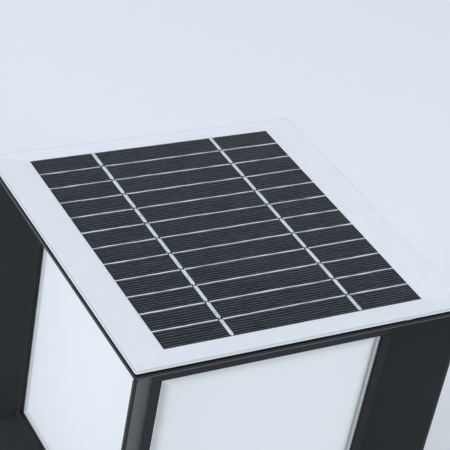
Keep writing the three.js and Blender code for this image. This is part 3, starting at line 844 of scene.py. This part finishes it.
def diffuser(name, turn):
    low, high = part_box(name)
    flange_half = 0.070
    z0, z1 = low[2], high[2]
    zc = (z0 + z1) / 2
    out = {0: -low[1], 1: high[0], 2: high[1], 3: -low[0]}[turn]  # the pan's face
    rise = 0.0013
    face = out - rise
    thick = 0.0020
    pan_u = 0.0678
    win_low, win_high = 0.04075, 0.181875
    pan_v = (win_high - win_low) / 2 - 0.0012
    vc = (win_low + win_high) / 2 - zc
    rim, groove, sweep = 0.00060, 0.00090, 0.0074
    top, deep = (0.0006 if turn == 0 else -0.0008), -0.0015
    stations = [0.0, 0.00012, 0.00032, 0.00048, rim, 0.00076, groove, 0.0012, 0.0016, 0.0021, 0.0027, 0.0034, 0.0042, 0.0050, 0.0059, sweep]

    def profile(d):
        """Height of the front face at a distance inwards from the pan's outline."""
        if d <= 0.0:
            return 0.0
        if d < 0.00012:
            return top * 0.8 * d / 0.00012
        if d <= 0.00032:
            return top * (0.8 + 0.2 * (d - 0.00012) / 0.0002)
        if d <= rim:
            return top * (1.0 - 0.12 * (d - 0.00032) / (rim - 0.00032))
        if d <= groove:
            k = (d - rim) / (groove - rim)
            return top * 0.88 * (1 - k) + deep * k
        t = min((d - groove) / (sweep - groove), 1.0)
        return deep + (rise - deep) * math.sin(math.pi / 2 * t)

    def lines(half, centre, end):
        pos = [half - d for d in stations]
        inner = [half - sweep - x for x in (0.003, 0.010, 0.025)]
        side = pos + inner
        full = [end[0]] + [centre - s for s in side] + [centre] + [centre + s for s in reversed(side)] + [end[1]]
        return sorted(set(round(x, 7) for x in full))

    us = lines(pan_u, 0.0, (-flange_half, flange_half))
    vs = lines(pan_v, vc, (z0 - zc, z1 - zc))
    front, back, painted_shades = [], [], []
    for v in vs:
        for u in us:
            inward = rounded_inside(u, v - vc, pan_u, pan_v, 0.0006)
            # painted shade: darkened within about 5 mm of the pan's outline, to 0.70 on the front pan and 0.84 on the
            # others; the front pan's rim strip is left undarkened
            k = min(max(inward - (rim if turn == 0 else 0.0), 0.0) / 0.0048, 1.0)
            on_rim = turn == 0 and 0.0 < inward < rim
            dim = 0.70 if turn == 0 else 0.84
            painted_shades.append(1.0 if on_rim else dim + (1.0 - dim) * k * k * (3 - 2 * k))
            h = profile(rounded_inside(u, v - vc, pan_u, pan_v, 0.0006))
            d2 = rounded_inside(u, v - vc, pan_u - 0.0025, pan_v - 0.0025, 0.0025)
            hb = -thick + rise * min(d2 / 0.0012, 1.0)
            front.append((u, h, v))
            back.append((u, hb, v))
    verts = front + back
    nu, nv, n = len(us), len(vs), len(front)
    faces = []
    for j in range(nv - 1):
        for i in range(nu - 1):
            a = j * nu + i
            faces.append((a, a + 1, a + nu + 1, a + nu))
            faces.append((n + a, n + a + nu, n + a + nu + 1, n + a + 1))
    for i in range(nu - 1):
        a, b = i, (nv - 1) * nu + i
        faces.append((a, n + a, n + a + 1, a + 1))
        faces.append((b, b + 1, n + b + 1, n + b))
    for j in range(nv - 1):
        a, b = j * nu, j * nu + nu - 1
        faces.append((a, a + nu, n + a + nu, n + a))
        faces.append((b, n + b, n + b + nu, b + nu))
    rot = Matrix.Rotation(turn * math.pi / 2, 4, "Z")
    placed = []
    for u, h, v in verts:
        p = Vector((u, -(face + h), zc + v))
        placed.append(tuple(rot @ p))
    o = mesh_piece(f"pan_{name[9:]}", placed, faces, MAT["opal"], smooth=True, slot="opal_diffuser", replaces=[name])
    # painted shade: the per-vertex darkening is stored here for the opal material to multiply in
    attribute = o.data.color_attributes.new(name="painted_edge_shade", type="FLOAT_COLOR", domain="POINT")
    for index, tone in enumerate(painted_shades + [1.0] * len(back)):
        attribute.data[index].color = (tone, tone, tone, 1.0)
    s = o.modifiers.new("split", "EDGE_SPLIT")
    s.split_angle = math.radians(50)
    return o


for name, turn in (("diffuser_front", 0), ("diffuser_right", 1), ("diffuser_back", 2), ("diffuser_left", 3)):
    diffuser(name, turn)


# ------------------------------------------------------------- return spring
def coil():
    low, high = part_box("button_spring")
    cx, cy = (low[0] + high[0]) / 2, (low[1] + high[1]) / 2
    wire = 0.00026
    radius = 0.0023
    z0, z1 = low[2] + wire, high[2] - wire
    turns, steps, ring = 4.5, 150, 10
    verts, faces = [], []
    for i in range(steps + 1):
        t = i / steps
        a = t * turns * 2 * math.pi
        c = Vector((cx + radius * math.cos(a), cy + radius * math.sin(a), z0 + (z1 - z0) * t))
        out = Vector((math.cos(a), math.sin(a), 0))
        for k in range(ring):
            b = 2 * math.pi * k / ring
            verts.append(tuple(c + out * (wire * math.cos(b)) + Vector((0, 0, wire * math.sin(b)))))
    for i in range(steps):
        for k in range(ring):
            p, q = i * ring + k, i * ring + (k + 1) % ring
            faces.append((p, q, q + ring, p + ring))
    faces.append(tuple(range(ring)))
    faces.append(tuple(reversed(range(steps * ring, steps * ring + ring))))
    o = mesh_piece("spring_coil", verts, faces, MAT["steel"], smooth=True, slot="stainless_screw", replaces=["button_spring"])
    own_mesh(o)
    return o


coil()


# -------------------------------------------------------------------- stage
def floor():
    me = bpy.data.meshes.new("floor")
    s = 9.0
    me.from_pydata([(-s, -s, -0.0004), (s, -s, -0.0004), (s, s, -0.0004), (-s, s, -0.0004)], [], [(0, 1, 2, 3)])
    me.update()
    o = bpy.data.objects.new("floor", me)
    SCENE.collection.objects.link(o)
    base = srgb(*FLOOR)
    p = Paint("pale_paper", base, 0.85)
    p.p.inputs["Specular IOR Level"].default_value = 0.1
    n = p.noise(60.0, 3.0, 0.6)
    p.colour_by(n, [(0.3, shade(base, 0.996)), (0.7, shade(base, 1.004))])
    me.materials.append(p.m)
    o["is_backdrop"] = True
    return o


FLOOR = (252, 253, 254)
floor()


def area(name, at, target, size, power, colour=(1, 1, 1)):
    l = bpy.data.lights.new(name, "AREA")
    l.shape = "SQUARE"
    l.size = size
    l.energy = power
    l.color = colour
    o = bpy.data.objects.new(name, l)
    SCENE.collection.objects.link(o)
    o.location = at
    o.rotation_mode = "QUATERNION"
    o.rotation_quaternion = (Vector(target) - Vector(at)).to_track_quat("-Z", "Y")
    return o


area("softbox_left", (-3.3, 0.4, 1.5), (0, 0, 0.1), 2.6, 70, (0.86, 0.925, 1.0))
area("softbox_front", (1.0, -3.1, 1.5), (0, 0, 0.1), 2.6, 50, (0.86, 0.925, 1.0))

world = bpy.data.worlds.new("studio")
world.use_nodes = True
bg = world.node_tree.nodes["Background"]
bg.inputs["Color"].default_value = (0.86, 0.925, 1.0, 1.0)
bg.inputs["Strength"].default_value = 0.60
SCENE.world = world
SCENE.view_settings.view_transform = "Standard"
SCENE.view_settings.look = "None"
SCENE.view_settings.exposure = 0.0
SCENE.view_settings.gamma = 1.0

# ------------------------------------------------------------------- camera
cam = bpy.data.cameras.new("camera")
cam.sensor_width = 36.0
cam.lens = 130.1526
cam.clip_start, cam.clip_end = 0.05, 60.0
cam_object = bpy.data.objects.new("camera", cam)
SCENE.collection.objects.link(cam_object)
right = Vector((0.873705, -0.458833, 0.16159)).normalized()
down = Vector((-0.138962, -0.553749, -0.821006)).normalized()
ahead = Vector((0.466185, 0.694863, -0.547574)).normalized()
turn = Matrix((right, -down, -ahead)).transposed().to_4x4()
turn.translation = Vector((-0.420146, -0.628453, 0.711868))
cam_object.matrix_world = turn
SCENE.camera = cam_object

low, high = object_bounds()
